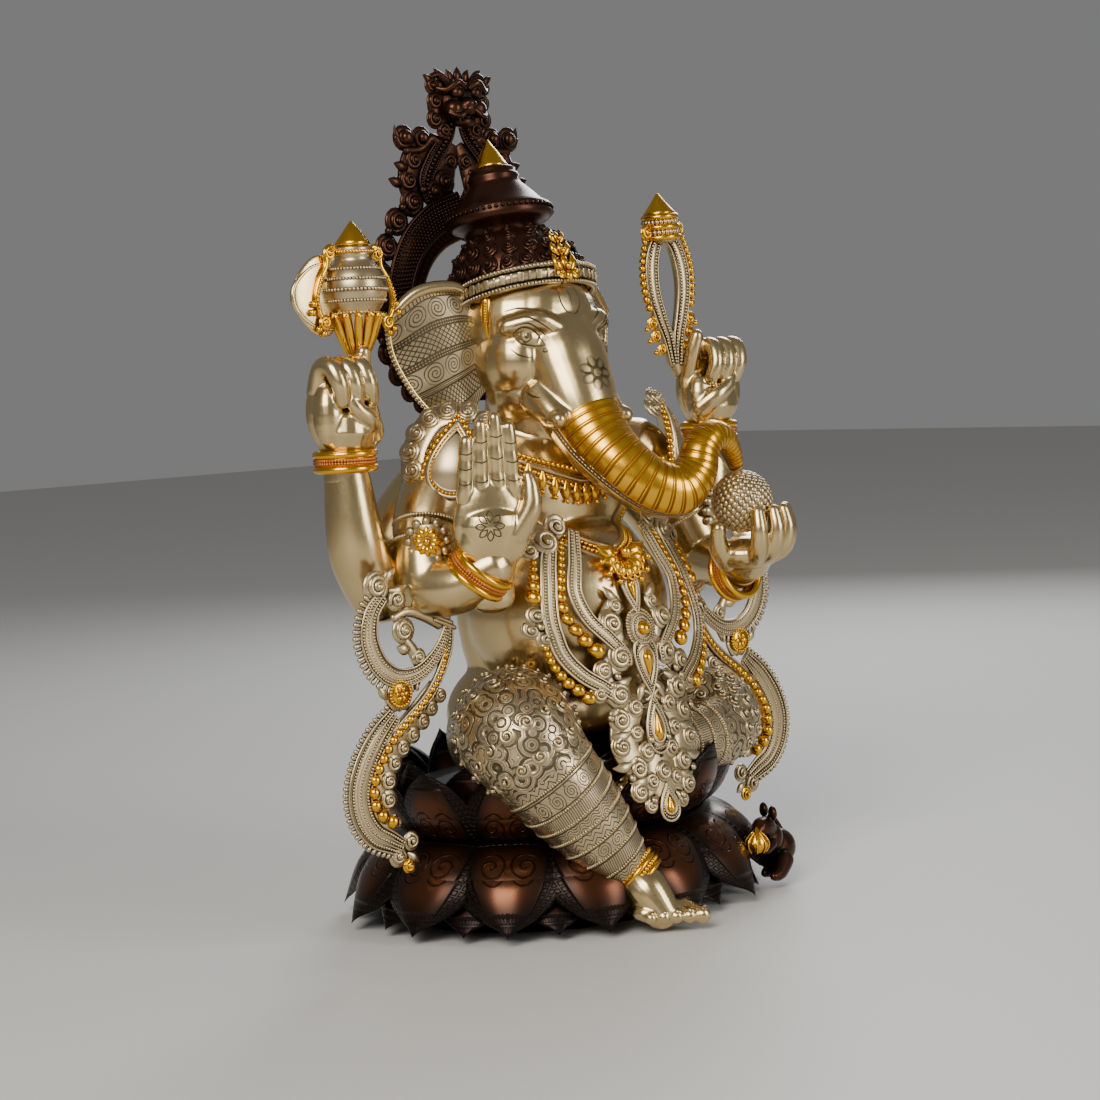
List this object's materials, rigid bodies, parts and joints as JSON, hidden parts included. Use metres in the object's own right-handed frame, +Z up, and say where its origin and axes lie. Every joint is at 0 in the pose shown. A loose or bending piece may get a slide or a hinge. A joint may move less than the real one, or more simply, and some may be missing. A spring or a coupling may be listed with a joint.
{
  "type": "ganesha idol",
  "caption": "Cast brass elephant-headed figure with four arms, seated on a double lotus base in front of a pierced halo plate.",
  "frame": {"origin": "middle of the object's box, on the surface that it stands on", "axes": "+Z up, the figure faces -Y, its own left hand is on the +X side"},
  "size_m": [0.372, 0.2726, 0.536],
  "materials": {
    "satin_brass": "satin, scratch brushed",
    "chased_brass": "antique, dark in the chased lines",
    "gold_lacquer": "gloss gold lacquer",
    "dark_bronze": "dark brown patina, rubbed bright on high spots",
    "steel": "plain"
  },
  "bodies": {
    "root": {"lotus_plinth": "dark_bronze", "lotus_seat": "dark_bronze", "head": "satin_brass", "trunk": "gold_lacquer", "right_tusk": "satin_brass", "left_tusk": "satin_brass", "crown_band": "chased_brass", "crown_dome": "dark_bronze", "crown_cap": "dark_bronze", "crown_finial": "gold_lacquer", "forehead_jewel": "gold_lacquer", "right_ear": "chased_brass", "left_ear": "chased_brass", "right_ear_drop": "gold_lacquer", "left_ear_drop": "gold_lacquer", "right_back_arm": "satin_brass", "left_back_arm": "satin_brass", "right_back_bangle": "gold_lacquer", "left_back_bangle": "gold_lacquer", "right_back_hand": "satin_brass", "left_back_hand": "satin_brass", "right_front_arm": "satin_brass", "left_front_arm": "satin_brass", "right_front_bangle": "gold_lacquer", "left_front_bangle": "gold_lacquer", "right_front_hand": "satin_brass", "sweet_ball": "chased_brass", "left_front_hand": "satin_brass", "axe_socket": "chased_brass", "axe_finial": "gold_lacquer", "axe_blade": "satin_brass", "noose_loop": "chased_brass", "noose_finial": "gold_lacquer", "halo_plate": "dark_bronze", "lion_crest": "dark_bronze", "halo_bracket": "dark_bronze", "right_halo_screw": "steel", "left_halo_screw": "steel", "right_leg": "chased_brass", "right_anklet": "gold_lacquer", "right_foot": "satin_brass", "left_leg": "chased_brass", "left_foot": "satin_brass", "collar": "gold_lacquer", "breast_band": "gold_lacquer", "right_shoulder_plate": "chased_brass", "left_shoulder_plate": "chased_brass", "right_armlet": "chased_brass", "left_armlet": "chased_brass", "right_apron_strand": "chased_brass", "left_apron_strand": "chased_brass", "apron_pendant": "chased_brass", "right_scarf": "chased_brass", "left_scarf": "chased_brass", "mouse": "dark_bronze", "mouse_sweet": "gold_lacquer", "body_bolt_1": "steel", "body_bolt_2": "steel", "body_bolt_3": "steel", "torso": "satin_brass"}
  },
  "joints": []
}
